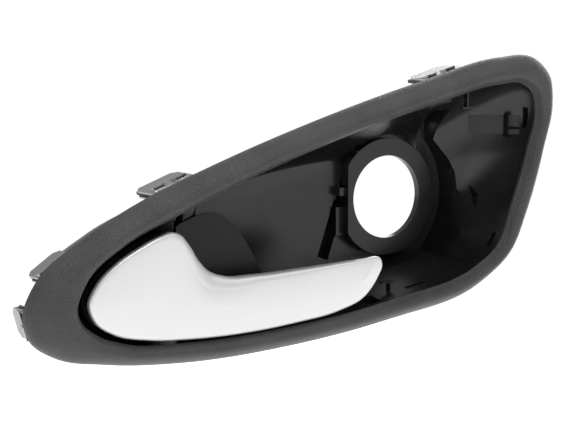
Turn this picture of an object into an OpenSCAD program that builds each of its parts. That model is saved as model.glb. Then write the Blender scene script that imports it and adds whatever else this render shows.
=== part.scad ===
// Inner door handle module of a car: grained surround, bowl with a switch seat, see-saw pull lever
// Origin: centre of the switch bore on the front face of its seat
// X runs along the length towards the broad end, Y points into the door, Z is up

/* [Surround] */
// From the bore's centre to the pointed end
tip_reach = 168.7; // [155:0.1:185]
// From the bore's centre to the broad end
heel_reach = 60.3; // [56:0.1:72]
// From the bore's centre up to the highest point
crown_height = 54.8; // [51:0.1:62]
// From the bore's centre down to the lowest point
sill_depth = 48.3; // [46:0.1:54]
// Width of the band at the pointed end
tip_band = 17.6; // [14:0.1:20]
// Width of the band at the broad end
heel_band = 10.5; // [9:0.1:14]
// Width of the band at the highest point
crown_band = 10.4; // [8:0.1:12]
// Width of the band along the bottom
sill_band = 7.7; // [6.8:0.1:9]
// From the seat on the trim to the crest of the band
band_height = 9; // [7:0.1:11]
// Wall of the band
band_wall = 2.2; // [1.8:0.1:2.6]
// Width of the face that lies on the trim
seat_land = 0.9; // [0.7:0.1:1]
// Width of the rounded bead around the opening
bead_w = 2; // [1.2:0.1:2.6]
// Depth of the bead's inner wall
bead_depth = 2.8; // [2.4:0.1:4]
// How far the seat on the trim stands ahead of the switch seat
seat_ahead = 24; // [20:0.5:28]

/* [Bowl] */
// From the bowl's rim back to its floor
bowl_depth = 31.5; // [30:0.5:36]
// Wall of the bowl
bowl_wall = 1.7; // [1.3:0.1:1.8]
// How far the bowl's side stands back under the lip
lip_overhang = 1.6; // [1.2:0.1:1.7]

/* [Switch seat] */
// Diameter of the switch bore
bore_d = 32; // [28:0.1:34]
// Diameter of the seat's face
seat_d = 45.4; // [42:0.1:47]
// Thickness of the seat's face
seat_plate = 2.7; // [2:0.1:4]
// From the bore's centre to the flat side of the seat
seat_flat = 18.5; // [17.5:0.1:19.5]
// Diameter of the recess around the seat
recess_d = 67; // [64:0.5:69]
// Width of the long slot beside the seat
slot_w = 3.6; // [3:0.1:6]

/* [Lever] */
// From the palm end of the lever to its hinge
palm_reach = 47.5; // [44:0.1:50]
// From the bore's centre to the free end of the lever
arm_end = 25.5; // [23:0.1:32]
// Gap between the palm end and the lip
palm_gap = 3.6; // [3.4:0.1:6]
// Gap between the lower edge of the lever and the lip
sill_gap = 1.2; // [1.1:0.1:3]
// From the bore's centre down to the top of the palm
palm_top = 1.4; // [0.5:0.1:4]
// Front to back depth of the lever at the palm
lever_depth = 12; // [10.5:0.1:13]
// Width of the grip's rounding where the palm runs into the arm
grip_round = 6.4; // [4:0.1:7.5]
// Straight side of the grip behind its rounding
grip_side = 1.7; // [1.5:0.1:2.4]
// Wall of the silver grip
grip_wall = 1.6; // [1.2:0.1:2.2]
// From the crest of the band back to the front of the grip
grip_set_back = 1.6; // [0.5:0.1:3]
// Angle of full pull
pull_angle = 24; // [20:1:25]

/* [Hinge] */
// Diameter of the hinge pin
pin_d = 4; // [3:0.1:5]
// Running clearance around the pin
pin_play = 0.05; // [0.02:0.01:0.08]
// From the back of the lever to the pin's centre
pin_behind = 5; // [4.5:0.1:6]
// Wall of the hub around the pin
hub_wall = 2.2; // [1.6:0.1:2.6]
// Wire of the return spring
spring_wire = 1.1; // [0.8:0.1:1.4]
// Turns of the return spring
spring_turns = 4; // [3:1:5]
// From the back of the bowl to the cable's nipple
cable_behind = 9.9; // [9:0.1:14]
// Thickness of the cable arm
cable_arm_h = 7; // [5:0.5:9]
// Diameter of the seat for the cable's nipple
nipple_d = 5.2; // [4:0.1:6]
// Diameter of the seat for the cable's sheath
sheath_d = 6; // [5:0.1:8]

/* [Clips] */
// Length of a retaining clip along the edge
clip_len = 17.5; // [14:0.5:24]
// How far a clip reaches behind the seat on the trim
clip_reach = 17.5; // [14:0.5:20]
// Sheet of a clip
clip_sheet = 0.6; // [0.4:0.1:0.8]
// Thickness of the tongue under a clip
tongue_wall = 1.2; // [0.9:0.1:1.3]
// Bevel of a clip's free corners
clip_chamfer = 3.5; // [2:0.5:5]
// Width of the barbs on a clip
barb_w = 3.2; // [2:0.1:4]
// From the surround's edge in to a clip
clip_inset = 1.2; // [1.2:0.1:1.6]

/* [Hidden] */
$fn = 64;
slip = 0.1;
steps = 4;

grained = "#505153";
smooth_black = "#1c1c1e";
silver = "#dcdcda";
core_black = "#141415";
spring_steel = "#9a9a98";
pin_steel = "#b8b8b8";
rubber = "#0f0f0f";

// Depths along Y
seat_y = -seat_ahead;
crest_y = seat_y - band_height;
lip_y = crest_y + 1.4;
lip_back_y = seat_y - 2.6;
rim_y = lip_back_y + slip;
floor_y = rim_y + bowl_depth;
back_y = floor_y + bowl_wall;
grip_front_y = crest_y + grip_set_back;
lever_back_y = grip_front_y + lever_depth;
pin_y = lever_back_y + pin_behind;

// Reaches of the opening inside the lip
open_left = tip_reach - tip_band;
open_right = heel_reach - heel_band;
open_top = crown_height - crown_band;
open_bottom = sill_depth - sill_band;

// Outlines seen from the front, each from the pointed end over the top and back along the bottom
outer_shape = [
    [-168.7, -27], [-163, -14], [-146, -2], [-123, 9.5], [-95, 19.7], [-49, 34], [0.5, 46.7],
    [36, 54], [51.3, 53.7], [59.2, 46.6], [60.3, 37.8], [55.9, 19.1], [47.8, -5.3], [39, -21.4],
    [21.6, -33.7], [-18, -42.1], [-66.5, -47.3], [-110, -48], [-140.1, -45], [-157.3, -41], [-166.4, -34.3]
];
open_shape = [
    [-150.9, -26.1], [-147.5, -16], [-133.1, -4.8], [-111.8, 4.1], [-87.8, 13.1], [-44.4, 26.6], [-0.9, 37.4],
    [30.9, 43.8], [42.4, 43.8], [48.2, 39.8], [49.7, 34.1], [46, 18.2], [38.3, -3.2], [31.4, -18.2],
    [19.6, -25.7], [-16.7, -33.7], [-66.1, -39.4], [-108, -40.3], [-132.7, -38.1], [-144.7, -33.4], [-149.6, -29.1]
];
floor_shape = [
    [-146, -25], [-141, -17.5], [-128, -10.5], [-109, -3], [-86, 4], [-45, 12], [-10, 15],
    [4, 16], [9, 16], [12, 15], [14, 13], [18, 9], [26, -4], [22.5, -14.5],
    [13, -20.5], [-16, -25], [-64, -31], [-106, -33.5], [-128, -33], [-139, -31], [-144.5, -28]
];
lever_shape = [
    [-147.5, -23], [-144.4, -17], [-137.2, -10.6], [-128, -5.7], [-119.3, -2.3], [-114.8, -1.4],
    [-111.2, -2.5], [-107.5, -6], [-103.3, -12], [-99, -16.3], [-92.4, -18.9], [-80, -19.5],
    [-60, -19], [-32, -17.9], [-26.3, -17.9], [-25.5, -19.9], [-27.5, -24.8], [-33.5, -31.6],
    [-45.3, -35.8], [-62.9, -38], [-85, -39.4], [-108, -39.1], [-125, -37.6], [-138, -34.4], [-145.2, -29.4]
];
// The lever's middle line, one point for each point of its outline
lever_middle = [
    [-133, -23.5], [-132, -22.5], [-128.5, -21.5], [-123.5, -21], [-119, -21], [-116.5, -21.3],
    [-114.5, -22], [-112, -23], [-109, -24.5], [-104, -26.8], [-96, -28.6], [-81.5, -29.4],
    [-60.5, -28.3], [-36, -25.5], [-34.5, -25], [-34, -25], [-34.5, -25.8], [-37.5, -26.3],
    [-46.3, -27.2], [-63, -28.5], [-85, -29.4], [-107.5, -25.5], [-121, -22], [-127.5, -22], [-131.5, -23]
];
// Shares of the grip's rounding and straight side at each of those points
lever_edge = [
    [0.2, 0.8], [0.2, 0.8], [0.2, 0.8], [0.2, 0.8], [0.24, 0.8], [0.35, 0.9],
    [0.6, 1], [0.9, 1.1], [1, 1.2], [1, 1.3], [0.75, 1.5], [0.45, 1.9],
    [0.35, 1.9], [0.24, 1.3], [0.2, 1.1], [0.2, 1.1], [0.2, 1.1], [0.2, 1.1],
    [0.22, 1], [0.22, 1], [0.22, 1], [0.22, 1], [0.22, 0.9], [0.22, 0.8], [0.2, 0.8]
];

function xs(shape) = [for (p = shape) p[0]];
function zs(shape) = [for (p = shape) p[1]];
function between(v, a, b, from, to) = from + (to - from) * (v - a) / (b - a);
// Fits an outline to its left, right, top and bottom edges, keeping the bore's centre in place
function fitted(shape, left, right, top, bottom) =
    let (drawn = curve(shape, 10), x_low = min(xs(drawn)), x_high = max(xs(drawn)),
        z_low = min(zs(drawn)), z_high = max(zs(drawn)))
    [
        for (p = shape) [
            p[0] < 0 ? p[0] * left / -x_low : p[0] * right / x_high,
            p[1] > 0 ? p[1] * top / z_high : p[1] * bottom / -z_low
        ]
    ];
// A smooth closed curve through the points of an outline
function at(shape, i) = shape[(i + len(shape)) % len(shape)];
function slope(shape, i) =
    let (a = norm(at(shape, i) - at(shape, i - 1)), b = norm(at(shape, i + 1) - at(shape, i)))
    ((at(shape, i) - at(shape, i - 1)) * b / a + (at(shape, i + 1) - at(shape, i)) * a / b) / (a + b);
function on_curve(shape, u) =
    let (
        i = floor(u),
        f = u - i,
        p = at(shape, i),
        q = at(shape, i + 1),
        d = norm(q - p)
    )
    p * (2 * pow(f, 3) - 3 * pow(f, 2) + 1)
    + slope(shape, i) * d * (pow(f, 3) - 2 * pow(f, 2) + f)
    + q * (3 * pow(f, 2) - 2 * pow(f, 3))
    + slope(shape, i + 1) * d * (pow(f, 3) - pow(f, 2));
function curve(shape, n = steps) = [for (k = [0 : len(shape) * n - 1]) on_curve(shape, k / n)];
// The outlines run clockwise seen from the front, so this normal points outwards
function outward(loop, i) =
    let (d = at(loop, i + 1) - at(loop, i - 1))
    [-d[1], d[0]] / norm(d);
function grown(loop, by) = [for (i = [0 : len(loop) - 1]) loop[i] + outward(loop, i) * by];
function mixed(a, b, share) = [for (i = [0 : len(a) - 1]) a[i] * (1 - share) + b[i] * share];
function set_at(loop, y) = [for (p = loop) [p[0], y, p[1]]];

outer_points = fitted(outer_shape, tip_reach, heel_reach, crown_height, sill_depth);
open_points = fitted(open_shape, open_left, open_right, open_top, open_bottom);
outer_loop = curve(outer_points);
open_loop = curve(open_points);
rim_loop = grown(open_loop, lip_overhang);
floor_loop = curve(fitted(
    floor_shape,
    open_left - 5, open_right - 23.8, open_top - 28.4, open_bottom - 7
));
function lever_fitted(shape) = [
    for (p = shape) [
        between(p[0], min(xs(lever_shape)), max(xs(lever_shape)), palm_gap - open_left, -arm_end),
        between(p[1], min(zs(lever_shape)), max(zs(lever_shape)), sill_gap - open_bottom, -palm_top)
    ]
];
function straight(list, n) = [
    for (k = [0 : len(list) * n - 1])
        let (i = floor(k / n), f = k / n - i)
        at(list, i) * (1 - f) + at(list, i + 1) * f
];
lever_steps = 3;
lever_loop = curve(lever_fitted(lever_shape), lever_steps);
middle_loop = straight(lever_fitted(lever_middle), lever_steps);
round_w = grip_round * [for (e = straight(lever_edge, lever_steps)) e[0]];
round_drop = [for (w = round_w) 0.65 * w + 0.25];
side_back = [
    for (i = [0 : len(round_w) - 1])
        grip_front_y + round_drop[i] + grip_side * straight(lever_edge, lever_steps)[i][1]
];
// The lever's outline drawn in towards its middle line by its own width at each point
function drawn_in(widths, ys) = [
    for (i = [0 : len(lever_loop) - 1])
        let (
            p = lever_loop[i],
            inner = middle_loop[i] - p,
            q = p + inner * min(0.9, widths[i] / norm(inner))
        )
        [q[0], ys[i], q[1]]
];
function all_at(value) = [for (w = round_w) value];

// Joins a list of closed loops into one solid, capped at its first and last loop
module skin(loops, closed = false) {
    n = len(loops[0]);
    m = len(loops);
    points = [for (loop = loops) each loop];
    rows = closed ? m : m - 1;
    sides = [
        for (r = [0 : rows - 1], i = [0 : n - 1])
            let (a = r * n + i, b = r * n + (i + 1) % n, c = ((r + 1) % m) * n)
            each [[a, c + i, b], [b, c + i, c + (i + 1) % n]]
    ];
    caps = closed ? [] : [
        [for (i = [0 : n - 1]) i],
        [for (i = [n - 1 : -1 : 0]) (m - 1) * n + i]
    ];
    polyhedron(points, concat(sides, caps), convexity = 8);
}

// An outline laid in the front view and given a depth from one Y to another
module slab(from_y, to_y) {
    translate([0, to_y, 0])
        rotate([90, 0, 0])
            linear_extrude(to_y - from_y, convexity = 6)
                children();
}

module bar_y(d, from_y, to_y) {
    translate([0, to_y, 0])
        rotate([90, 0, 0])
            cylinder(d = d, h = to_y - from_y);
}

// Places children on an outline: X along the edge, Z out of it
module on_edge(points, u) {
    p = on_curve(points, u);
    d = on_curve(points, u + 0.05) - on_curve(points, u - 0.05);
    translate([p[0], 0, p[1]])
        rotate([0, -atan2(d[1], d[0]), 0])
            children();
}

// Height of an outline's top or bottom side at one X
function z_at(loop, x, side) =
    side * max([
        for (i = [0 : len(loop) - 1])
            let (p = loop[i], q = at(loop, i + 1))
            if ((p[0] - x) * (q[0] - x) <= 0 && p[0] != q[0] && side * p[1] > side * -12)
                side * between(x, p[0], q[0], p[1], q[1])
    ]);

// Surround

// Where each clip sits along the outer edge, its length and how far it stands in from the others
clip_places = [
    ["clip_tip", 20.85, clip_len - 6.5, 1.6], ["clip_shoulder", 1.25, clip_len - 3.5, 2.2],
    ["clip_crown_left", 3.5, clip_len, 0], ["clip_crown_right", 6.32, clip_len, 0],
    ["clip_heel", 11.4, clip_len, 0.5], ["clip_sill_right", 14.55, clip_len, 0.2],
    ["clip_sill_left", 16.85, clip_len, 0]
];
tongue_out = -clip_inset - clip_sheet - slip;
tongue_root = crest_y + band_wall + 3.4;
tongue_tip = seat_y + clip_reach - 2 * clip_sheet - slip;

module surround() {
    bead = grown(open_loop, bead_w);
    back_in = grown(open_loop, lip_overhang + 1.2);
    back_out = grown(outer_loop, -band_wall);
    band = [
        [0.08, crest_y + 0.75], [0.2, crest_y + 0.15], [0.32, crest_y], [0.5, crest_y + 0.4],
        [0.68, crest_y + 1.4], [0.83, crest_y + 3], [0.93, crest_y + 4.9], [0.985, crest_y + 6.9], [1, seat_y]
    ];
    loops = concat(
        [
            set_at(rim_loop, lip_back_y),
            set_at(rim_loop, lip_y + bead_depth),
            set_at(open_loop, lip_y + bead_depth),
            set_at(open_loop, lip_y + 0.8 * bead_w),
            set_at(grown(open_loop, 0.3 * bead_w), lip_y + 0.26 * bead_w),
            set_at(grown(open_loop, 0.65 * bead_w), lip_y + 0.05 * bead_w),
            set_at(bead, lip_y)
        ],
        [for (s = band) set_at(mixed(bead, outer_loop, s[0]), s[1])],
        [
            set_at(grown(outer_loop, -seat_land), seat_y),
            set_at(mixed(back_in, back_out, 0.8), crest_y + band_wall + 2.6),
            set_at(mixed(back_in, back_out, 0.35), crest_y + band_wall + 0.4),
            set_at(back_in, crest_y + band_wall + 0.8),
            set_at(back_in, lip_back_y)
        ]
    );
    color(grained) {
        skin(loops, closed = true);
        for (place = clip_places)
            on_edge(outer_points, place[1])
                translate([0, 0, -place[3]])
                    tongue(place[2] - 3);
    }
}

module tongue(length) {
    translate([-length / 2, tongue_root, tongue_out - tongue_wall])
        cube([length, tongue_tip - tongue_root, tongue_wall]);
}

// A sheet steel clip folded over a tongue, with two barbs lifted from its outer leg
module clip(length) {
    leg_in = tongue_out - tongue_wall - slip - clip_sheet;
    end_y = seat_y + clip_reach;
    mouth_y = seat_y + 0.4;
    fold = 1.5 * clip_sheet;
    translate([-length / 2, 0, 0])
        intersection() {
            rotate([90, 0, 90])
                linear_extrude(length)
                    polygon([
                        [mouth_y, -clip_inset], [end_y - fold, -clip_inset], [end_y, -clip_inset - fold],
                        [end_y, leg_in + fold], [end_y - fold, leg_in], [mouth_y, leg_in],
                        [mouth_y, leg_in + clip_sheet],
                        [end_y - clip_sheet, leg_in + clip_sheet],
                        [end_y - clip_sheet, -clip_inset - clip_sheet],
                        [mouth_y, -clip_inset - clip_sheet]
                    ]);
            translate([0, 0, leg_in - 1])
                linear_extrude(clip_inset - leg_in)
                    polygon([
                        [0, mouth_y - 1], [length, mouth_y - 1], [length, end_y - clip_chamfer],
                        [length - clip_chamfer, end_y + 1], [clip_chamfer, end_y + 1],
                        [0, end_y - clip_chamfer]
                    ]);
        }
    for (x = [-length / 4, length / 4])
        barb(x, mouth_y + 4);
}

module barb(x, y) {
    translate([x - barb_w / 2, y, -clip_inset - clip_sheet / 2])
        rotate([90, 0, 90])
            linear_extrude(barb_w)
                polygon([[0, 0], [barb_w, 0], [0, clip_inset + clip_sheet / 2 - seat_land - slip]]);
}

module clip_at(name) {
    for (place = clip_places)
        if (place[0] == name)
            color(spring_steel)
                on_edge(outer_points, place[1])
                    translate([0, 0, -place[3]])
                        clip(place[2]);
}

// Bowl

// One level of the bowl: steep at the finger end, sloped at the switch end, rounded into the floor
steep_x = -110;
foot_round = 0.7;
function roundness(x) = 1 + 2.4 * min(1, max(0, x / steep_x));
function bowl_level(share) = [
    for (i = [0 : len(rim_loop) - 1])
        let (p = rim_loop[i], q = floor_loop[i])
        p + (q - p) * (1 - pow(1 - pow(share, roundness(p[0])), foot_round))
];
levels = [0, 0.25, 0.5, 0.7, 0.85, 0.95, 0.985, 1];
recess_sill = seat_d / 2 + 1.4;
seat_ring = 1.8;
recess_depth = 20;
slot_angle = 70;
slot_x = -20.2;
slot_z = -1;
pin_x = palm_gap - open_left + palm_reach;
hub_top = -0.4;
hub_bottom = sill_gap - open_bottom + 2.4;
hub_r = pin_d / 2 + pin_play + hub_wall;
boss_r = pin_d / 2 + 1.5;
boss_top = z_at(rim_loop, pin_x, 1) + bowl_wall + 0.6;
boss_bottom = z_at(rim_loop, pin_x, -1) - bowl_wall - 0.3;
arm_w = 5;
buffer_wall = 2.5;
arm_slot_right = (back_y - pin_y) * tan(pull_angle) + arm_w / 2 + 1.5;
nipple_y = back_y + cable_behind;
nipple_wall = 2;
sheath_x = pin_x - 30;

// Round beside the seat, wider at the right and squared off at its foot and at the pocket above
module recess_outline(extra) {
    intersection() {
        union() {
            circle(r = seat_d / 2 + seat_ring + extra);
            translate([-16 - extra, -recess_sill - extra])
                square([32, 20]);
            intersection() {
                union() {
                    circle(r = recess_d / 2 + extra);
                    translate([-8, 0])
                        square([recess_d / 2 + extra, open_top - 11 + extra]);
                }
                polygon([[13.6 - extra, 40], [17.2 - extra, 17], [10, -60], [60, -60], [60, 40]]);
            }
        }
        translate([-60, -recess_sill - extra])
            square([120, 100]);
        translate([slot_x, slot_z])
            rotate(slot_angle)
                translate([-50, -100 + extra])
                    square([100, 100]);
    }
}

module bowl_body() {
    skin([for (s = levels) set_at(grown(bowl_level(s), bowl_wall), rim_y + (bowl_depth + bowl_wall) * s)]);
}

module bowl_space() {
    skin(concat(
        [set_at(rim_loop, rim_y - 1)],
        [for (s = levels) set_at(bowl_level(s), rim_y + bowl_depth * s)]
    ));
}

seat_chord = 2 * sqrt(pow(seat_d / 2, 2) - pow(seat_flat, 2));

module seat() {
    difference() {
        bar_y(seat_d, 0, floor_y + 0.5);
        bar_y(seat_d - 2 * bowl_wall, seat_plate, floor_y + 1);
    }
}

// Catches for the switch on the flat side of its seat
module catches() {
    for (catch = [[-14, 11, 4], [1.5, 3.1, 3]])
        translate([-seat_flat - catch[2], seat_plate + 0.5, catch[0]])
            cube([catch[2] + 1, floor_y - seat_plate, catch[1]]);
}

module window(u, y, length, depth) {
    on_edge(open_points, u)
        translate([-length / 2, y, -14])
            cube([length, depth, 20]);
}

module bowl() {
    color(smooth_black)
        difference() {
            union() {
                difference() {
                    union() {
                        bowl_body();
                        slab(floor_y - recess_depth, back_y)
                            recess_outline(bowl_wall);
                    }
                    bowl_space();
                }
                for (z = [[boss_bottom, hub_bottom - 0.4], [hub_top + 0.4, boss_top]])
                    translate([pin_x, pin_y, z[0]])
                        cylinder(r = boss_r, h = z[1] - z[0]);
                buffer_post();
                sheath_seat();
            }
            slab(rim_y - 1, floor_y)
                recess_outline(0);
            bar_y(seat_d - 2 * bowl_wall, floor_y - 1, back_y + 1);
            translate([slot_x, floor_y, slot_z])
                rotate([0, -slot_angle, 0])
                    cube([46, 12, slot_w], center = true);
            translate([pin_x, pin_y, boss_bottom - 1])
                cylinder(r = pin_d / 2 + 0.02, h = boss_top - boss_bottom + 2);
            translate([pin_x - arm_w / 2 - 1, floor_y - 1, arm_z - 1])
                cube([arm_slot_right + arm_w / 2 + 1, bowl_wall + 2, cable_arm_h + 2]);
            window(6.5, rim_y + 5, 12, 9);
            window(10.45, rim_y + 5, 9, 16);
            window(10.25, rim_y + 2, 8, 1.8);
            window(6.2, rim_y + 2, 5, 1.6);
            window(15.15, rim_y + 3, 8, 7);
            window(14.75, rim_y + 2.5, 8, 1.6);
            window(12.85, rim_y + 2.5, 6, 1.6);
        }
    color(smooth_black)
        difference() {
            seat();
            bar_y(bore_d, -1, seat_plate + 1);
            translate([-seat_flat - 20, -1, -30])
                cube([20, floor_y + 3, 60]);
        }
    color(smooth_black) {
        translate([-seat_flat, 0, -seat_chord / 2])
            cube([seat_flat - bore_d / 2 - 0.5, floor_y + 1, seat_chord]);
        catches();
    }
}

arm_z = hub_bottom + 4;
buffer_x = pin_x - arm_w / 2 - slip - buffer_wall;
post_wall = 2.5;

module buffer_post() {
    translate([buffer_x - post_wall, back_y - 0.5, arm_z])
        cube([post_wall, cable_behind - 2, cable_arm_h]);
}

// An upright on the back of the bowl with an open seat for the cable's sheath
module sheath_seat() {
    seat_mid = nipple_y - 2;
    difference() {
        translate([sheath_x - 1.5, back_y - 1.5, arm_z + cable_arm_h / 2 - sheath_d / 2 - 5])
            cube([3, seat_mid + 0.9 * sheath_d / 2 + 1.5 - back_y, sheath_d + 10]);
        translate([sheath_x, seat_mid, arm_z + cable_arm_h / 2])
            rotate([0, 90, 0])
                cylinder(d = sheath_d, h = 8, center = true);
    }
}

// Lever

module lever_grip() {
    front = all_at(grip_front_y);
    inside = front + round_drop + all_at(0.6 * grip_wall);
    color(silver)
        skin([
            drawn_in(round_w, front),
            drawn_in(0.62 * round_w, front + 0.075 * round_drop),
            drawn_in(0.29 * round_w, front + 0.3 * round_drop),
            drawn_in(0.08 * round_w, front + 0.62 * round_drop),
            drawn_in(all_at(0), front + round_drop),
            drawn_in(all_at(0), side_back),
            drawn_in(all_at(grip_wall), side_back),
            drawn_in(all_at(grip_wall), inside),
            drawn_in(round_w + all_at(0.5 * grip_wall), front + all_at(grip_wall))
        ]);
}

// Outline of the raised web above the arm, measured from the pin
web_shape = [
    [-7, -36], [-7, -1.3], [-5.4, -0.4], [-1.3, 1.1], [3, 2.3], [5.3, 2.7], [8.2, 2.7], [9.8, 2.4], [11.3, 1.8],
    [14.4, -0.4], [16.9, -2.5], [19.5, -5.3], [22.4, -9.5], [25.4, -14.4], [28.3, -19.8], [28.5, -36]
];
core_back_y = lever_back_y + 1.2;
core_slip = 0.4;
deep_back_y = max(side_back);
coil_r = pin_d / 2 + 0.35 + spring_wire / 2;
coil_h = (spring_turns + 1) * (spring_wire + 0.15) + 0.8;
coil_z = -17;

// The black carrier: a plug in the back of the grip and, at the palm, a skirt behind its edge
module core_body() {
    slab(deep_back_y - 0.9, deep_back_y + 2 * slip)
        offset(delta = -grip_wall - core_slip)
            polygon(lever_loop);
    slab(deep_back_y + slip, core_back_y - 0.8)
        intersection() {
            offset(delta = -core_slip)
                polygon(lever_loop);
            translate([-tip_reach, -sill_depth])
                square([tip_reach + pin_x + 12, sill_depth]);
        }
}

module lever_core() {
    color(core_black)
        difference() {
            union() {
                core_body();
                slab(lever_back_y + 0.1, core_back_y - 0.3)
                    intersection() {
                        translate([pin_x, 0])
                            polygon(web_shape);
                        translate([pin_x - 20, hub_bottom])
                            square([60, 4 - hub_bottom]);
                    }
                translate([pin_x, pin_y, hub_bottom])
                    cylinder(r = hub_r, h = hub_top - hub_bottom);
                translate([pin_x - hub_r + 0.3, lever_back_y + 0.1, hub_bottom])
                    cube([2 * hub_r - 0.6, pin_behind - 0.1, hub_top - hub_bottom]);
                translate([pin_x - arm_w / 2, pin_y, arm_z])
                    cube([arm_w, nipple_y - pin_y, cable_arm_h]);
                translate([pin_x, nipple_y, arm_z])
                    cylinder(d = nipple_d + 2 * nipple_wall, h = cable_arm_h);
            }
            translate([pin_x, pin_y, hub_bottom - 1])
                cylinder(d = pin_d + 2 * pin_play, h = hub_top - hub_bottom + 2);
            translate([pin_x - 12, core_back_y, coil_z - coil_h / 2])
                cube([24, 20, coil_h]);
            translate([pin_x, nipple_y, arm_z - 1])
                cylinder(d = nipple_d, h = cable_arm_h + 2);
            translate([pin_x - nipple_d - 3, nipple_y - 0.9, arm_z - 1])
                cube([nipple_d + 3, 1.8, cable_arm_h + 2]);
        }
}

module pivot_pin() {
    color(pin_steel)
        translate([pin_x, pin_y, boss_bottom])
            cylinder(d = pin_d, h = boss_top - boss_bottom);
}

// A round wire along a list of points that turns about an upright axis
module wire(path, d, sides = 8) {
    n = len(path);
    skin([
        for (i = [0 : n - 1])
            let (
                ahead = path[min(i + 1, n - 1)] - path[max(i - 1, 0)],
                t = ahead / norm(ahead),
                side = cross(t, [0, 0, 1]) / norm(cross(t, [0, 0, 1])),
                up = cross(side, t)
            )
            [for (k = [0 : sides - 1]) path[i] + d / 2 * (cos(k * 360 / sides) * side + sin(k * 360 / sides) * up)]
    ]);
}

module return_spring() {
    pitch = spring_wire + 0.15;
    turns = spring_turns + 0.5;
    bottom = coil_z - turns * pitch / 2;
    top = coil_z + turns * pitch / 2;
    leg = 16;
    coil = [
        for (k = [0 : turns * 16])
            [pin_x + coil_r * sin(k * 22.5), pin_y - coil_r * cos(k * 22.5), bottom + pitch * k / 16]
    ];
    color(spring_steel)
        wire(concat(
            [[pin_x - leg, pin_y - coil_r, bottom]],
            coil,
            [[pin_x - leg, pin_y + coil_r + 10, top]]
        ), spring_wire);
}

module rest_buffer() {
    color(rubber)
        translate([buffer_x, back_y + 0.4, arm_z + 0.5])
            cube([buffer_wall, cable_behind - nipple_d / 2 - nipple_wall - 0.8, cable_arm_h - 1]);
}

surround();
bowl();
lever_grip();
lever_core();
pivot_pin();
return_spring();
rest_buffer();
clip_at("clip_crown_left");  // clip_crown_left
clip_at("clip_crown_right");  // clip_crown_right
clip_at("clip_shoulder");  // clip_shoulder
clip_at("clip_tip");  // clip_tip
clip_at("clip_sill_left");  // clip_sill_left
clip_at("clip_sill_right");  // clip_sill_right
clip_at("clip_heel");  // clip_heel
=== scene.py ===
import math

import bmesh
import bpy
from mathutils import Matrix, Vector


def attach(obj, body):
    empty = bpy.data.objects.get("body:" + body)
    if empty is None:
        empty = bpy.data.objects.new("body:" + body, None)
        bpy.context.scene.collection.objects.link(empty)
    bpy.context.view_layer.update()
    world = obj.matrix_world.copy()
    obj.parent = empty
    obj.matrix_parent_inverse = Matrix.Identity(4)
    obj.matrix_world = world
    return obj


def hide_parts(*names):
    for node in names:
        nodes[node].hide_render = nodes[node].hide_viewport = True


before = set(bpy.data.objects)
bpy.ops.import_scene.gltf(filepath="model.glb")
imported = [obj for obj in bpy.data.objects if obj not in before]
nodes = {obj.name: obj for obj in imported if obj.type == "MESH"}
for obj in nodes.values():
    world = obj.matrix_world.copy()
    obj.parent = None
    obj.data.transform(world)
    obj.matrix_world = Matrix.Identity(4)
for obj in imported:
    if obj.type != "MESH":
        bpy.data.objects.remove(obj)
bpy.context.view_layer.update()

mm = 0.001


# Curves and meshes

def at(x, y, z):
    return Vector((x * mm, y * mm, z * mm))


def smoothCurve(points, perSpan, closed=True):
    # a curve through the points, with its slopes set by the spans beside each point
    pts = [Vector(p) for p in points]
    count = len(pts)

    def point(i):
        return pts[i % count] if closed else pts[max(0, min(count - 1, i))]

    def slope(i):
        back, ahead = point(i) - point(i - 1), point(i + 1) - point(i)
        if back.length == 0 or ahead.length == 0:
            return (back + ahead).normalized()
        a, b = back.length, ahead.length
        return (back * (b / a) + ahead * (a / b)) / (a + b)

    curve = []
    for i in range(count if closed else count - 1):
        d = (point(i + 1) - point(i)).length
        for k in range(perSpan):
            f = k / perSpan
            curve.append(
                point(i) * (2 * f**3 - 3 * f**2 + 1) + slope(i) * d * (f**3 - 2 * f**2 + f)
                + point(i + 1) * (3 * f**2 - 2 * f**3) + slope(i + 1) * d * (f**3 - f**2)
            )
    if not closed:
        curve.append(pts[-1].copy())
    return curve


def grown(loop, by):
    # a closed outline moved outwards; by stays small, so that it never crosses itself
    count = len(loop)
    wide = []
    for i in range(count):
        d = loop[(i + 1) % count] - loop[i - 1]
        wide.append(loop[i] + Vector((-d.y, d.x)).normalized() * by)
    return wide


def mixed(a, b, share):
    return [p.lerp(q, share) for p, q in zip(a, b)]


def ringAt(loop, y):
    # an outline in the front view, laid at one depth
    return [at(p.x, y, p.y) for p in loop]


def keepOrder(bm):
    # extruding leaves the edges and faces in an order that differs from run to run
    bm.verts.index_update()
    for elements in (bm.edges, bm.faces):
        ranked = sorted(elements, key=lambda element: sorted(v.index for v in element.verts))
        order = {element: i for i, element in enumerate(ranked)}
        elements.sort(key=order.get)


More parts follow.
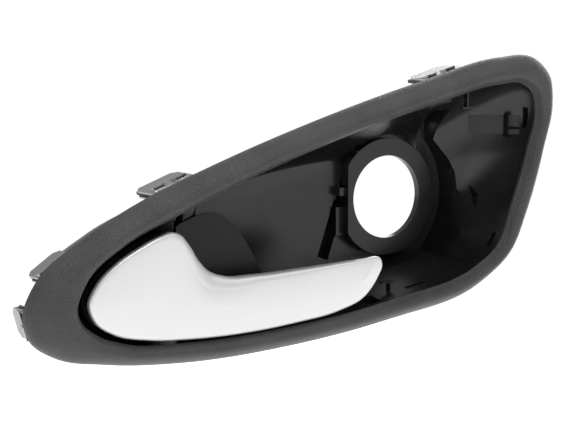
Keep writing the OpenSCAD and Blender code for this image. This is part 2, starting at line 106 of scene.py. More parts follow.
def sweepRings(rings, capFirst=False, capLast=False, closeUp=False, finishes=None):
    # one circle of points, pulled from ring to ring
    bm = bmesh.new()
    station = bm.verts.layers.int.new("station")
    ring = bmesh.ops.create_circle(bm, segments=len(rings[0]), radius=mm)["verts"]
    for i, v in enumerate(ring):
        v[station] = i
        v.co = rings[0][i]
    edges = bm.edges[:]
    if capFirst:
        bmesh.ops.edgeloop_fill(bm, edges=edges)
    for step, goal in enumerate(rings[1:]):
        made = bmesh.ops.extrude_edge_only(bm, edges=edges)["geom"]
        moved = {v for v in made if isinstance(v, bmesh.types.BMVert)}
        for v in moved:
            v.co = goal[v[station]]
        edges = [e for e in made if isinstance(e, bmesh.types.BMEdge) and set(e.verts) <= moved]
        if finishes:
            for f in made:
                if isinstance(f, bmesh.types.BMFace):
                    f.material_index = finishes[step]
    if capLast:
        bmesh.ops.edgeloop_fill(bm, edges=edges)
    if closeUp:
        bmesh.ops.remove_doubles(bm, verts=bm.verts, dist=1e-6)
    keepOrder(bm)
    bmesh.ops.recalc_face_normals(bm, faces=bm.faces)
    return bm


def newObject(bm, name):
    mesh = bpy.data.meshes.new(name)
    bm.to_mesh(mesh)
    bm.free()
    piece = bpy.data.objects.new(name, mesh)
    bpy.context.scene.collection.objects.link(piece)
    return piece


def bakeModifiers(piece):
    seen = piece.evaluated_get(bpy.context.evaluated_depsgraph_get())
    baked = bpy.data.meshes.new_from_object(seen)
    piece.modifiers.clear()
    old = piece.data
    piece.data = baked
    bpy.data.meshes.remove(old)


def combine(piece, tool, how="DIFFERENCE"):
    # the tool is used up
    step = piece.modifiers.new("cut", "BOOLEAN")
    step.operation = how
    step.solver = "EXACT"
    step.object = tool
    bakeModifiers(piece)
    bpy.data.objects.remove(tool)


def box(low, high, name="cutter"):
    bm = bmesh.new()
    bmesh.ops.create_cube(bm, size=1)
    size = [b - a for a, b in zip(low, high)]
    middle = [(a + b) / 2 for a, b in zip(low, high)]
    bmesh.ops.scale(bm, vec=Vector(size) * mm, verts=bm.verts)
    bmesh.ops.translate(bm, vec=at(*middle), verts=bm.verts)
    return newObject(bm, name)


def bar(place, radius, length, segments, name):
    bm = bmesh.new()
    bmesh.ops.create_cone(bm, cap_ends=True, segments=segments, radius1=radius * mm, radius2=radius * mm,
                          depth=length * mm, matrix=place)
    return newObject(bm, name)


def barAlongY(x, z, radius, fromY, toY, segments=128, name="cutter"):
    place = Matrix.Translation(at(x, (fromY + toY) / 2, z)) @ Matrix.Rotation(math.radians(90), 4, "X")
    return bar(place, radius, toY - fromY, segments, name)


def barAlongZ(x, y, radius, fromZ, toZ, segments=48, name="cutter"):
    return bar(Matrix.Translation(at(x, y, (fromZ + toZ) / 2)), radius, toZ - fromZ, segments, name)


def solidRings(rings, name="cutter"):
    return newObject(sweepRings(rings, capFirst=True, capLast=True), name)


def slab(outline, fromY, toY, name="cutter"):
    return solidRings([ringAt(outline, fromY), ringAt(outline, toY)], name)


def finishPiece(piece, body, materials, replaced, sharpAngle):
    piece.data.materials.clear()
    for m in materials:
        piece.data.materials.append(m)
    for p in piece.data.polygons:
        p.use_smooth = True
    piece.data.set_sharp_from_angle(angle=math.radians(sharpAngle))
    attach(piece, body)
    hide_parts(*replaced)


# Materials

class Field:
    # a number that changes over a surface
    def __init__(self, finish, socket):
        self.finish = finish
        self.socket = socket

    def math(self, operation, a, b):
        return self.finish.node("ShaderNodeMath", {"operation": operation}, {0: a, 1: b})

    def __add__(self, other):
        return self.math("ADD", self, other)

    def __radd__(self, other):
        return self.math("ADD", other, self)

    def __sub__(self, other):
        return self.math("SUBTRACT", self, other)

    def __rsub__(self, other):
        return self.math("SUBTRACT", other, self)

    def __mul__(self, other):
        return self.math("MULTIPLY", self, other)

    def __rmul__(self, other):
        return self.math("MULTIPLY", other, self)


class Finish:
    def __init__(self, name):
        self.material = bpy.data.materials.new(name)
        self.material.use_nodes = True
        self.tree = self.material.node_tree
        self.tree.nodes.clear()
        self.place = self.node("ShaderNodeTexCoord", out="Object")

    def node(self, kind, settings=None, sockets=None, out=0):
        made = self.tree.nodes.new(kind)
        for name, value in (settings or {}).items():
            if name == "stops":
                ramp = made.color_ramp
                while len(ramp.elements) < len(value):
                    ramp.elements.new(0.5)
                for element, (where, tone) in zip(ramp.elements, value):
                    element.position = where
                    element.color = (tone, tone, tone, 1)
            else:
                setattr(made, name, value)
        for name, value in (sockets or {}).items():
            if isinstance(value, Field):
                self.tree.links.new(value.socket, made.inputs[name])
            else:
                made.inputs[name].default_value = value
        return Field(self, made.outputs[out]) if made.outputs else made

    def noise(self, size, detail=2.0, roughness=0.5):
        # size is the width of a speck in mm
        return self.node("ShaderNodeTexNoise", {}, {"Vector": self.place, "Scale": 1 / (size * mm),
                         "Detail": detail, "Roughness": roughness}, out="Fac")

    def cells(self, size):
        return self.node("ShaderNodeTexVoronoi", {"feature": "F1"},
                         {"Vector": self.place, "Scale": 1 / (size * mm)}, out="Distance")

    def tone(self, mask, dark, light):
        return self.node("ShaderNodeMix", {"data_type": "RGBA"},
                         {0: mask, 6: (*dark, 1), 7: (*light, 1)}, out=2)

    def ramp(self, field, stops):
        return self.node("ShaderNodeValToRGB", {"stops": stops}, {"Fac": field}, out="Color")

    def bump(self, height, depth, strength=1.0):
        # depth is in mm
        return self.node("ShaderNodeBump", {}, {"Height": height, "Distance": depth * mm,
                         "Strength": strength}, out="Normal")

    def surface(self, sockets):
        shader = self.node("ShaderNodeBsdfPrincipled", {}, sockets, out="BSDF")
        self.node("ShaderNodeOutputMaterial", {}, {"Surface": shader})
        return self.material


def grainedPlastic():
    # moulded trim with a fine pebble grain
    look = {"pebble": 0.5, "speck": 0.35, "patch": 14, "depth": 0.28,
            "dark": (0.032, 0.0327, 0.0335), "light": (0.062, 0.0632, 0.065)}
    f = Finish("grained plastic")
    pebble = f.cells(look["pebble"])
    speck = f.noise(look["speck"], 3.0, 0.6)
    patch = f.noise(look["patch"], 2.0)
    height = pebble * 0.8 + speck * 0.5
    mottle = f.ramp(patch * 0.4 + speck * 0.6, [(0.35, 0.0), (0.65, 1.0)])
    colour = f.tone(mottle, look["dark"], look["light"])
    return f.surface({"Base Color": colour, "Roughness": 0.34 + speck * 0.2, "IOR": 1.5,
                      "Normal": f.bump(height, look["depth"])})


def lipPlastic():
    # the smooth strip beside the grain
    f = Finish("lip plastic")
    haze = f.noise(6, 3.0)
    return f.surface({"Base Color": f.tone(haze, (0.034, 0.036, 0.036), (0.046, 0.049, 0.048)),
                      "Roughness": 0.34 + haze * 0.12, "IOR": 1.5,
                      "Normal": f.bump(f.noise(0.9, 2.0), 0.004)})


def smoothPlastic():
    # the bowl: dark, nearly smooth moulded plastic
    f = Finish("smooth plastic")
    haze = f.noise(9, 4.0, 0.55)
    grain = f.noise(0.45, 2.0)
    return f.surface({"Base Color": f.tone(haze, (0.007, 0.0071, 0.0075), (0.012, 0.0122, 0.0128)),
                      "Roughness": 0.2 + haze * 0.12, "IOR": 1.52,
                      "Normal": f.bump(grain + haze * 0.6, 0.008)})


def silverLacquer():
    f = Finish("silver lacquer")
    flake = f.cells(0.16)
    cloud = f.noise(18, 3.0)
    return f.surface({"Base Color": f.tone(flake, (0.77, 0.77, 0.765), (0.85, 0.85, 0.845)),
                      "Metallic": 0.45 + cloud * 0.1, "Roughness": 0.34 + flake * 0.12, "Coat Weight": 0.25,
                      "Coat Roughness": 0.22, "Normal": f.bump(f.noise(0.35, 2.0), 0.0025)})


def corePlastic():
    f = Finish("core plastic")
    haze = f.noise(7, 3.0)
    return f.surface({"Base Color": f.tone(haze, (0.007, 0.007, 0.0074), (0.012, 0.012, 0.0126)),
                      "Roughness": 0.38 + haze * 0.2, "IOR": 1.38, "Normal": f.bump(f.noise(0.4, 2.0), 0.006)})


def sheetSteel(name, light, dark, rough):
    f = Finish(name)
    along = f.node("ShaderNodeMapping", {}, {"Vector": f.place, "Scale": (1, 1, 9)}, out="Vector")
    rolled = f.node("ShaderNodeTexNoise", {}, {"Vector": along, "Scale": 420.0, "Detail": 3.0}, out="Fac")
    stain = f.noise(5, 3.0)
    return f.surface({"Base Color": f.tone(stain, dark, light), "Metallic": 1.0,
                      "Roughness": rough + rolled * 0.15, "Normal": f.bump(rolled, 0.004)})


def blackRubber():
    f = Finish("buffer rubber")
    dust = f.noise(0.8, 4.0)
    return f.surface({"Base Color": f.tone(dust, (0.008, 0.008, 0.008), (0.02, 0.02, 0.019)),
                      "Roughness": 0.62 + dust * 0.2, "Normal": f.bump(dust, 0.02)})


grain = grainedPlastic()
lipStrip = lipPlastic()
bowlPlastic = smoothPlastic()
silver = silverLacquer()
core = corePlastic()
clipSteel = sheetSteel("clip steel", (0.50, 0.50, 0.49), (0.36, 0.36, 0.355), 0.34)
pinSteel = sheetSteel("pin steel", (0.62, 0.62, 0.61), (0.5, 0.5, 0.5), 0.22)
springSteel = sheetSteel("spring steel", (0.45, 0.45, 0.44), (0.3, 0.3, 0.3), 0.3)
rubber = blackRubber()

# Outlines seen from the front, each from the pointed end over the top and back along the bottom
outerShape = [
    (-168.7, -27), (-163, -14), (-146, -2), (-123, 9.5), (-95, 19.7), (-49, 34), (0.5, 46.7),
    (36, 54), (51.3, 53.7), (59.2, 46.6), (60.3, 37.8), (55.9, 19.1), (47.8, -5.3), (39, -21.4),
    (21.6, -33.7), (-18, -42.1), (-66.5, -47.3), (-110, -48), (-140.1, -45), (-157.3, -41), (-166.4, -34.3),
]
openShape = [
    (-150.9, -26.1), (-147.5, -16), (-133.1, -4.8), (-111.8, 4.1), (-87.8, 13.1), (-44.4, 26.6), (-0.9, 37.4),
    (30.9, 43.8), (42.4, 43.8), (48.2, 39.8), (49.7, 34.1), (46, 18.2), (38.3, -3.2), (31.4, -18.2),
    (19.6, -25.7), (-16.7, -33.7), (-66.1, -39.4), (-108, -40.3), (-132.7, -38.1), (-144.7, -33.4),
    (-149.6, -29.1),
]
floorShape = [
    (-146, -25), (-141, -17.5), (-128, -10.5), (-109, -3), (-86, 4), (-45, 12), (-10, 15),
    (4, 16), (9, 16), (12, 15), (14, 13), (18, 9), (26, -4), (22.5, -14.5),
    (13, -20.5), (-16, -25), (-64, -31), (-106, -33.5), (-128, -33), (-139, -31), (-144.5, -28)
]
leverShape = [
    (-147.5, -23), (-144.4, -17), (-137.2, -10.6), (-128, -5.7), (-119.3, -2.3), (-114.8, -1.4),
    (-111.2, -2.5), (-107.5, -6), (-103.3, -12), (-99, -16.3), (-92.4, -18.9), (-80, -19.5),
    (-60, -19), (-32, -17.9), (-26.3, -17.9), (-25.5, -19.9), (-27.5, -24.8), (-33.5, -31.6),
    (-45.3, -35.8), (-62.9, -38), (-85, -39.4), (-108, -39.1), (-125, -37.6), (-138, -34.4), (-145.2, -29.4),
]
# the lever's middle line, one point for each point of its outline
leverMiddle = [
    (-133, -23.5), (-132, -22.5), (-128.5, -21.5), (-123.5, -21), (-119, -21), (-116.5, -21.3),
    (-114.5, -22), (-112, -23), (-109, -24.5), (-104, -26.8), (-96, -28.6), (-81.5, -29.4),
    (-60.5, -28.3), (-36, -25.5), (-34.5, -25), (-34, -25), (-34.5, -25.8), (-37.5, -26.3),
    (-46.3, -27.2), (-63, -28.5), (-85, -29.4), (-107.5, -25.5), (-121, -22), (-127.5, -22), (-131.5, -23),
]
# shares of the grip's rounding and straight side at each of those points
leverEdge = [
    (0.2, 0.8), (0.2, 0.8), (0.2, 0.8), (0.2, 0.8), (0.24, 0.8), (0.35, 0.9),
    (0.6, 1), (0.9, 1.1), (1, 1.2), (1, 1.3), (0.75, 1.5), (0.45, 1.9),
    (0.35, 1.9), (0.24, 1.3), (0.2, 1.1), (0.2, 1.1), (0.2, 1.1), (0.2, 1.1),
    (0.22, 1), (0.22, 1), (0.22, 1), (0.22, 1), (0.22, 0.9), (0.22, 0.8), (0.2, 0.8),
]
fine = 10
outerLoop = smoothCurve(outerShape, fine)
openLoop = smoothCurve(openShape, fine)
rimGap = 1.6
rimLoop = grown(openLoop, rimGap)
floorLoop = smoothCurve(floorShape, fine)
leverFine = 8
leverLoop = smoothCurve(leverShape, leverFine)


# Surround

def edgePlace(shape, u):
    # where the outline is at u: X runs along it, Z points out of it
    curve = smoothCurve(shape, 20)
    i = round(u * 20) % len(curve)
    d = (curve[(i + 1) % len(curve)] - curve[i - 1]).normalized()
    x, z = curve[i] * mm
    return Matrix(((d.x, 0, -d.y, x), (0, 1, 0, 0), (d.y, 0, d.x, z), (0, 0, 0, 1)))


def boxAt(place, low, high, name="cutter"):
    piece = box(low, high, name)
    piece.data.transform(place)
    return piece


clipSizes = {"seatY": -24, "reach": 17.5, "sheet": 0.6, "inset": 1.2, "gap": 0.1,
             "barbWide": 4.8, "barbLong": 4.2, "barbHigh": 1.2, "barbApart": 0.26, "barbStart": 0.3,
             "tongue": 1.2, "tongueFrontY": -27.2, "tongueSide": 0.6, "tongueShort": 1.3}
clipPlaces = [
    # node, its place on the outer edge, length, inset, where the photo shows it, share of the reach
    ("clip_tip", 20.85, 11, 1.6, 20.55, 0.72),
    ("clip_shoulder", 1.25, 14, 2.2, 1.45, 0.85),
    ("clip_crown_left", 3.5, 17.5, 0, 3.5, 1),
    ("clip_crown_right", 6.32, 17.5, 0, 6.32, 1),
    ("clip_heel", 11.4, 17.5, 0.5, 11.4, 1),
    ("clip_sill_right", 14.55, 17.5, 0.2, 14.55, 1),
    ("clip_sill_left", 16.85, 17.5, 0, 16.85, 1),
]

surroundSizes = {"seatY": -24, "crestY": -33, "lipY": -31.6, "lipBackY": -26.6, "wall": 2.2, "land": 0.9,
                 "stripWide": 1.7, "stripDeep": 2.9, "stripDrop": 0.7, "backIn": 2.8}


def buildSurround():
    s = surroundSizes
    crest, wide = s["crestY"], s["stripWide"]
    stripY = s["lipY"] - s["stripDrop"]
    stripBack = stripY + s["stripDeep"]
    # a smooth strip runs from the opening's edge out to the crisp edge of the grained band
    rings = [
        ringAt(rimLoop, s["lipBackY"]), ringAt(rimLoop, stripBack),
        ringAt(grown(openLoop, 0.3), stripBack), ringAt(grown(openLoop, 0.05), stripBack - 0.15),
    ]
    for share in (0.06, 0.25, 0.5, 0.75, 0.94):
        rings.append(ringAt(grown(openLoop, wide * share), stripY + s["stripDeep"] * (1 - share)))
    smooth = len(rings) - 1
    # the grained band is measured in shares of its own width
    start = grown(openLoop, wide)
    section = [
        (0.0, stripY + 0.05), (0.02, stripY - 0.12), (0.08, crest + 0.28), (0.18, crest + 0.05),
        (0.27, crest), (0.42, crest + 0.32), (0.57, crest + 1.1), (0.71, crest + 2.2),
        (0.83, crest + 3.5), (0.93, crest + 5.1), (0.985, crest + 6.9), (1.0, s["seatY"]),
    ]
    nearWidth = 12
    for p in smoothCurve([(share * nearWidth, y) for share, y in section], 4, closed=False):
        rings.append(ringAt(mixed(start, outerLoop, p.x / nearWidth), p.y))
    backIn = grown(openLoop, s["backIn"])
    backOut = grown(outerLoop, -s["wall"])
    behind = crest + s["wall"]
    rings += [
        ringAt(grown(outerLoop, -s["land"]), s["seatY"]),
        ringAt(mixed(backIn, backOut, 0.9), behind + 4.2), ringAt(mixed(backIn, backOut, 0.8), behind + 2.6),
        ringAt(mixed(backIn, backOut, 0.6), behind + 1.2), ringAt(mixed(backIn, backOut, 0.35), behind + 0.4),
        ringAt(backIn, behind + 0.8), ringAt(backIn, s["lipBackY"]), ringAt(rimLoop, s["lipBackY"]),
    ]
    tones = [1] * smooth + [0] * (len(rings) - 1 - smooth)
    band = newObject(sweepRings(rings, closeUp=True, finishes=tones), "surroundBand")
    # the tongues that carry the clips
    c = clipSizes
    for name, u, length, inset, seen, share in clipPlaces:
        under = -c["inset"] - c["sheet"] - c["gap"] - inset
        half, end = length / 2 - c["tongueSide"], c["seatY"] + c["reach"] * share - c["tongueShort"]
        tongue = boxAt(edgePlace(outerShape, seen), (-half, c["tongueFrontY"], under - c["tongue"]),
                       (half, end, under))
        combine(band, tongue, "UNION")
    return band


surround = buildSurround()
finishPiece(surround, "housing", [grain, lipStrip], ["surround"], sharpAngle=40)
print("surround band made")


# Lever

leverSizes = {"frontY": -31.4, "round": 6.4, "roundDeep": 0.65, "edge": 0.25, "side": 1.7, "wall": 1.6,
              "crown": 0.5, "crownNear": 14}


def straightLine(points, perSpan):
    pts = [Vector(p) for p in points]
    return [pts[i].lerp(pts[(i + 1) % len(pts)], k / perSpan) for i in range(len(pts)) for k in range(perSpan)]


middleLoop = straightLine(leverMiddle, leverFine)
edgeShares = smoothCurve(leverEdge, leverFine)
roundWide = [leverSizes["round"] * e.x for e in edgeShares]
roundDrop = [leverSizes["roundDeep"] * w + leverSizes["edge"] for w in roundWide]
sideBack = [leverSizes["frontY"] + d + leverSizes["side"] * e.y for d, e in zip(roundDrop, edgeShares)]


def drawnIn(widths, ys):
    # the lever's outline drawn in towards its middle line by its own width at each point
    ring = []
    for p, m, w, y in zip(leverLoop, middleLoop, widths, ys):
        q = p.lerp(m, min(1, w / (m - p).length))
        ring.append(at(q.x, y, q.y))
    return ring


def allAt(value):
    return [value] * len(leverLoop)


def buildGrip():
    s = leverSizes
    front = s["frontY"]
    far = [(m - p).length for p, m in zip(leverLoop, middleLoop)]
    rings = []
    # a soft crown over the face, then the rounding, then the straight side
    for share in (0.97, 0.85, 0.7, 0.55, 0.4, 0.25, 0.12, 0.04):
        widths = [w + (f - w) * share for w, f in zip(roundWide, far)]
        rise = s["crown"] * math.sin(share * math.pi / 2)**0.8
        rings.append(drawnIn(widths, [front - rise * min(1, f / s["crownNear"]) for f in far]))
    turns = 12
    for i in range(turns + 1):
        a = math.radians(90 * i / turns)
        rings.append(drawnIn([w * (1 - math.sin(a)) for w in roundWide],
                             [front + d * (1 - math.cos(a)) for d in roundDrop]))
    rings.append(drawnIn(allAt(0), [y - 0.15 for y in sideBack]))
    rings.append(drawnIn(allAt(0.15), sideBack))
    rings.append(drawnIn(allAt(s["wall"]), sideBack))
    rings.append(drawnIn(allAt(s["wall"]), [front + d + 0.6 * s["wall"] for d in roundDrop]))
    rings.append(drawnIn([w + 0.5 * s["wall"] for w in roundWide], allAt(front + s["wall"])))
    return solidRings(rings, "leverGrip")


grip = buildGrip()
finishPiece(grip, "lever", [silver], ["lever_grip"], sharpAngle=45)
print("lever grip made")


# Bowl

bowlSizes = {
    "rimY": -26.5, "depth": 31.5, "wall": 1.7, "foot": 0.7,
    "steepPower": 2.4, "steepLong": 110, "switchPower": 0.25, "switchX": 10, "switchLong": 25,
    "recess": 33.9, "recessSill": 24.1, "recessTop": 33.4, "recessLeft": 16, "recessCorner": 8,
    "recessDeep": 20, "recessSlope": 3.5, "ring": 24.5, "pocketX": 14.63, "pocketAngle": 45.4,
    "slotX": -19.2, "slotZ": -1, "slotAngle": 70, "slotWide": 5.2, "slotHalf": 23, "slotDeep": 3,
    "seat": 22.7, "seatPlate": 2.7, "bore": 16, "seatFlat": 18.5,
}
floorY = bowlSizes["rimY"] + bowlSizes["depth"]
backY = floorY + bowlSizes["wall"]
roomWall = 1.2


def bowlLevel(share):
    # the bowl's inner outline at a share of its depth: steep at the finger end, sloped at the switch
    s = bowlSizes
    level = []
    for p, q in zip(rimLoop, floorLoop):
        power = (1 + s["steepPower"] * min(1, max(0, -p.x / s["steepLong"]))
                 + s["switchPower"] * min(1, max(0, (p.x - s["switchX"]) / s["switchLong"])))
        level.append(p.lerp(q, 1 - (1 - share**power)**s["foot"]))
    return level


def arc(radius, first, last, steps):
    angles = [first + (last - first) * i / steps for i in range(steps + 1)]
    return [Vector((math.cos(a), math.sin(a))) * radius for a in angles]


def recessOutline(extra, drawn=0):
    # round beside the seat, cut by the slot's line, wider at the right and in the pocket above;
    # drawn is how far the right side is drawn in
    s = bowlSizes
    ring, wide = s["ring"] + extra, s["recess"] + extra - drawn
    top, foot = s["recessTop"] + extra, -s["recessSill"] - extra + 0.3 * drawn
    left, right = -s["recessLeft"] - extra, s["recess"] - s["recessCorner"] + extra - drawn
    slant = math.radians(s["slotAngle"])
    outline = [Vector((left, foot))]
    first, last = -math.pi + math.acos(-left / ring), math.radians(s["pocketAngle"]) - 2 * math.pi
    for p in arc(ring, first, last, 90):
        edge = s["slotX"] - extra / math.sin(slant) + (p.y - s["slotZ"]) / math.tan(slant)
        outline.append(Vector((max(p.x, edge), p.y)))
    outline += [Vector((s["pocketX"] - extra, top)), Vector((right, top))]
    return outline + arc(wide, math.acos(right / wide), math.asin(foot / wide), 48)


def turned(x, y, z, degrees=0, tilt=0):
    # a place at x, y, z turned about the upright, then about Y
    turn = Matrix.Rotation(math.radians(degrees), 4, "Z") @ Matrix.Rotation(math.radians(tilt), 4, "Y")
    return Matrix.Translation(at(x, y, z)) @ turn


windows = [
    # place on the outline, front Y, length, depth
    (6.5, -21.5, 12, 9), (10.25, -24.5, 8, 1.8), (6.2, -24.5, 5, 1.6), (15.15, -23.5, 8, 7),
    (12.85, -24, 6, 1.6),
]
windowOut = 4
sideWindow = {"place": turned(32.4, -10, 22.9, -41), "long": 20, "deep": 4.5, "tall": 8}
sillSlot = {"place": turned(-2.2, -20, -30.4, 0, -10), "low": (-4.4, -0.8, -6), "high": (4.4, 0.8, 3)}
slotPlace = turned(bowlSizes["slotX"], 0, bowlSizes["slotZ"], 0, -bowlSizes["slotAngle"])


def addRooms(bowl):
    # blind rooms behind the skin, which the windows and the slot are cut into later
    s, w = bowlSizes, roomWall
    combine(bowl, slab(recessOutline(s["wall"]), floorY - s["recessDeep"], backY), "UNION")
    for u, y, length, depth in windows:
        combine(bowl, boxAt(edgePlace(openShape, u), (-length / 2 - w, y - w, -12),
                            (length / 2 + w, y + depth + w, windowOut)), "UNION")
    side = sideWindow
    combine(bowl, boxAt(side["place"], (-w, 0, -w),
                        (side["long"] + 1, side["deep"] + w, side["tall"] + w)), "UNION")
    long, half = s["slotHalf"] + w, s["slotWide"] / 2 + w
    combine(bowl, boxAt(slotPlace, (-long, backY - 0.5, -half),
                        (long, backY + s["slotDeep"] + 1, half)), "UNION")


def cutInside(bowl, shares):
    s = bowlSizes
    inside = [ringAt(rimLoop, s["rimY"] - 3)]
    inside += [ringAt(bowlLevel(share), s["rimY"] + s["depth"] * share) for share in shares]
    combine(bowl, solidRings(inside))
    slope = [(0, -28), (0, -8), (s["recessSlope"], floorY)]
    combine(bowl, solidRings([ringAt(recessOutline(0, drawn), y) for drawn, y in slope]))
    long, half = s["slotHalf"], s["slotWide"] / 2
    combine(bowl, boxAt(slotPlace, (-long, floorY - 8, -half), (long, backY + s["slotDeep"], half)))
    behindSeat = barAlongY(0, 0, s["seat"] - s["wall"], floorY - 1, backY + 1)
    combine(behindSeat, box((-40, floorY - 2, -30), (-s["bore"] - 0.5, backY + 2, 30)))
    combine(bowl, behindSeat)


def cutWindows(bowl):
    for u, y, length, depth in windows:
        combine(bowl, boxAt(edgePlace(openShape, u), (-length / 2, y, -14),
                            (length / 2, y + depth, windowOut - roomWall)))
    side = sideWindow
    combine(bowl, boxAt(side["place"], (0, -12, 0), (side["long"], side["deep"], side["tall"])))
    combine(bowl, boxAt(sillSlot["place"], sillSlot["low"], sillSlot["high"]))


catches = [
    # lower edge, height, how far out, front Y
    (-14, 11, 3.6, 3), (1.5, 3.1, 3, 1.5),
]


def addSeat(bowl):
    # the seat of the switch stands forward as a cup with one flat side, with catches beside the flat
    s = bowlSizes
    seat = barAlongY(0, 0, s["seat"], 0, floorY + 0.5, name="seat")
    combine(seat, barAlongY(0, 0, s["seat"] - s["wall"], s["seatPlate"], floorY + 1))
    combine(seat, box((-s["seatFlat"] - 20, -1, -30), (-s["seatFlat"], floorY + 3, 30)))
    chord = math.sqrt(s["seat"]**2 - s["seatFlat"]**2)
    combine(seat, box((-s["seatFlat"], 0, -chord), (-s["bore"] - 0.5, floorY + 1, chord)), "UNION")
    combine(seat, barAlongY(0, 0, s["bore"], -1, s["seatPlate"] + 1, 160))
    combine(bowl, seat, "UNION")
    for z, tall, out, y in catches:
        catch = box((-s["seatFlat"] - out, y, z), (-s["seatFlat"] + 1, floorY + 0.5, z + tall))
        combine(bowl, catch, "UNION")


groove = {"foot": (33.8, -6.6, 0.8), "head": (30.5, -14, 29.5), "footRadius": 0.2, "headRadius": 5.4}
notchShape = [(34.9, 3.6), (36.2, 1.5), (36.8, -1.3), (36.3, -3.6), (35, -5.5), (35.6, -1.3)]


def cutGroove(bowl):
    # a shallow groove runs up the wall beside the recess, with a thin notch next to it
    foot, head = Vector(groove["foot"]), Vector(groove["head"])
    bm = bmesh.new()
    bmesh.ops.create_cone(bm, cap_ends=True, segments=64, radius1=groove["footRadius"] * mm,
                          radius2=groove["headRadius"] * mm, depth=(head - foot).length * mm)
    tool = newObject(bm, "cutter")
    upright = (head - foot).to_track_quat("Z", "Y").to_matrix().to_4x4()
    tool.data.transform(Matrix.Translation(at(*((foot + head) / 2))) @ upright)
    combine(bowl, tool)
    combine(bowl, slab([Vector(p) for p in notchShape], -14, -7.4))


windowRibs = [
    # low corner, high corner
    ((21.7, -22, 34.9), (22.3, -20, 41)), ((19.5, -22, 34.6), (24.8, -20, 35.2)),
    ((43.7, -20.3, 22.5), (44.3, -18, 31.5)), ((44, -20.3, 25.4), (51, -18, 26)),
    ((-12.7, -18.5, -37), (-12.1, -16.5, -30)), ((-16.3, -18.5, -30.3), (-10.5, -16.5, -29.7)),
]
hinge = {"x": -100, "y": -14.4, "boss": 3.5, "bore": 2.02, "bosses": ((-44.2, -37.4), (0, 11.2))}
cable = {"x": -130, "y": 14.6, "z": -29.5, "bore": 3}


def addHinge(bowl):
    # bosses of the hinge pin, the way through for the lever's arm, its stop and the cable's seat
    h, c = hinge, cable
    for low, high in h["bosses"]:
        combine(bowl, barAlongZ(h["x"], h["y"], h["boss"], low, high), "UNION")
    combine(bowl, barAlongZ(h["x"], h["y"], h["bore"], -60, 30))
    combine(bowl, box((-103.5, floorY - 1, -34), (-85, backY + 1, -25)))
    combine(bowl, box((-107.6, backY - 0.5, -33), (-105.1, backY + 7.3, -26)), "UNION")
    combine(bowl, box((c["x"] - 1.5, backY - 1.5, c["z"] - 8), (c["x"] + 1.5, 17.2, c["z"] + 8)), "UNION")
    sheath = barAlongZ(0, 0, c["bore"], -5, 5)
    sheath.data.transform(turned(c["x"], c["y"], c["z"], 0, 90))
    combine(bowl, sheath)


def buildBowl():
    s = bowlSizes
    shares = [0, 0.04, 0.1, 0.17, 0.25, 0.33, 0.42, 0.5, 0.58, 0.66, 0.74, 0.81, 0.87, 0.92, 0.96,
              0.985, 0.996, 1]
    deep = s["depth"] + s["wall"]
    outside = [ringAt(grown(bowlLevel(share), s["wall"]), s["rimY"] + deep * share) for share in shares]
    bowl = solidRings(outside, "bowlBody")
    addRooms(bowl)
    cutInside(bowl, shares)
    cutWindows(bowl)
    addSeat(bowl)
    cutGroove(bowl)
    for low, high in windowRibs:
        combine(bowl, box(low, high), "UNION")
    addHinge(bowl)
    return bowl


bowl = buildBowl()
finishPiece(bowl, "housing", [bowlPlastic], ["bowl"], sharpAngle=30)
print("bowl made")


# Clips

def buildClip(name, u, length, inset, seen, share):
    # the frame's sheet with two barbs lanced up from it
    s = clipSizes
    copied = nodes[name].data.copy()
    bm = bmesh.new()
    bm.from_mesh(copied)
    bpy.data.meshes.remove(copied)
    bmesh.ops.remove_doubles(bm, verts=bm.verts, dist=1e-6)
    clip = newObject(bm, name + "Sheet")
    # moved along the edge to where the photo shows it, and shortened from its seat
    place, shorter = edgePlace(outerShape, seen), Matrix.Diagonal((1, share, 1, 1))
    seat = Matrix.Translation(at(0, s["seatY"], 0))
    clip.data.transform(place @ seat @ shorter @ seat.inverted() @ edgePlace(outerShape, u).inverted())
    face = -s["inset"] - inset
    start = s["seatY"] + s["barbStart"] * s["reach"] * share
    end, top = start + s["barbLong"], face + s["barbHigh"]
    half, low = s["barbWide"] / 2, face - 0.3
    profile = [(start, low), (start, top), (start + 0.5, top), (end, face + 0.05), (end, low)]
    for x in (-s["barbApart"] * length, s["barbApart"] * length):
        barb = solidRings([[at(x + side, y, z) for y, z in profile] for side in (-half, half)])
        barb.data.transform(place)
        combine(clip, barb, "UNION")
        # the opening under the barb
        combine(clip, boxAt(place, (x - half + 0.5, start - 0.5, face + 0.05),
                            (x + half - 0.5, start + 0.55 * s["barbLong"], face + 0.55 * s["barbHigh"])))
    return clip


for clipPlace in clipPlaces:
    finishPiece(buildClip(*clipPlace), "housing", [clipSteel], [clipPlace[0]], sharpAngle=30)
print("clips made")

# The frame's own nodes keep their shape and get their finish
nodeFinishes = {
    "bowl": bowlPlastic, "lever_core": core, "pivot_pin": pinSteel, "return_spring": springSteel,
    "rest_buffer": rubber, "surround": grain,
}
for name, node in nodes.items():
    node.data.materials.clear()
    node.data.materials.append(nodeFinishes.get(name, clipSteel))


# Studio

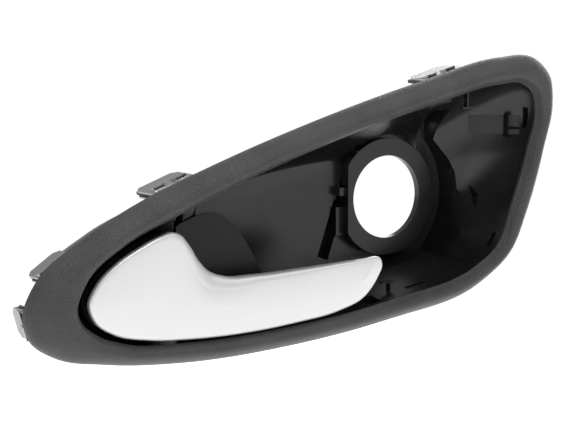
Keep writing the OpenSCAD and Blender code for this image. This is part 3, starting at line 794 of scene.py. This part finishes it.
studioSizes = {"floorZ": -0.22, "floorReach": 30, "floorGlow": 0.56, "worldLight": 0.48,
               "middle": at(-52, -10, 0), "lampFar": 0.9}
lamps = [
    # name, direction, size, power
    ("overhead softbox", (-0.1, -0.1, 1), 0.6, 2.3),
    ("overhead strip", (-0.1, -0.45, 0.9), 0.3, 1.4),
    ("right softbox", (0.6, -0.2, 0.8), 0.6, 0.8),
    ("left card", (-0.95, -0.45, 0.05), 0.35, 0.3),
    ("right rear card", (0.8, 0.6, 0.1), 0.6, 3.5),
]
cameraSizes = {"azimuth": -34.478, "elevation": 7.5535, "place": (-0.42583, -0.55036, 0.08391),
               "lens": 36 * 1800 / 570, "sensor": 36}


def buildFloor():
    bm = bmesh.new()
    bmesh.ops.create_grid(bm, x_segments=2, y_segments=2, size=studioSizes["floorReach"])
    bmesh.ops.translate(bm, vec=(0, 0, studioSizes["floorZ"]), verts=bm.verts)
    floor = newObject(bm, "studioFloor")
    f = Finish("studio floor")
    floor.data.materials.append(f.surface({"Base Color": (0.93, 0.93, 0.93, 1), "Roughness": 0.9,
                                           "Emission Color": (1, 1, 1, 1),
                                           "Emission Strength": studioSizes["floorGlow"]}))


def buildWorld():
    world = bpy.data.worlds.new("studio")
    world.use_nodes = True
    bpy.context.scene.world = world
    background = world.node_tree.nodes["Background"]
    background.inputs["Color"].default_value = (1, 1, 1, 1)
    background.inputs["Strength"].default_value = studioSizes["worldLight"]


def softLight(name, direction, size, power):
    lamp = bpy.data.lights.new(name, "AREA")
    lamp.shape = "SQUARE"
    lamp.size = size
    lamp.energy = power
    held = bpy.data.objects.new(name, lamp)
    bpy.context.scene.collection.objects.link(held)
    towards = Vector(direction).normalized()
    held.location = studioSizes["middle"] + towards * studioSizes["lampFar"]
    held.rotation_euler = towards.to_track_quat("Z", "Y").to_euler()


def placeCamera():
    s = cameraSizes
    lens = bpy.data.cameras.new("camera")
    camera = bpy.data.objects.new("camera", lens)
    bpy.context.scene.collection.objects.link(camera)
    a, e = math.radians(s["azimuth"]), math.radians(s["elevation"])
    back = Vector((math.sin(a) * math.cos(e), -math.cos(a) * math.cos(e), math.sin(e)))
    camera.location = s["place"]
    camera.rotation_mode = "QUATERNION"
    camera.rotation_quaternion = (-back).to_track_quat("-Z", "Y")
    lens.lens = s["lens"]
    lens.sensor_width = s["sensor"]
    lens.clip_start = 0.01
    lens.clip_end = 100
    bpy.context.scene.camera = camera


buildFloor()
buildWorld()
for lampSizes in lamps:
    softLight(*lampSizes)
placeCamera()
bpy.context.scene.view_settings.view_transform = "Standard"
print("studio made")
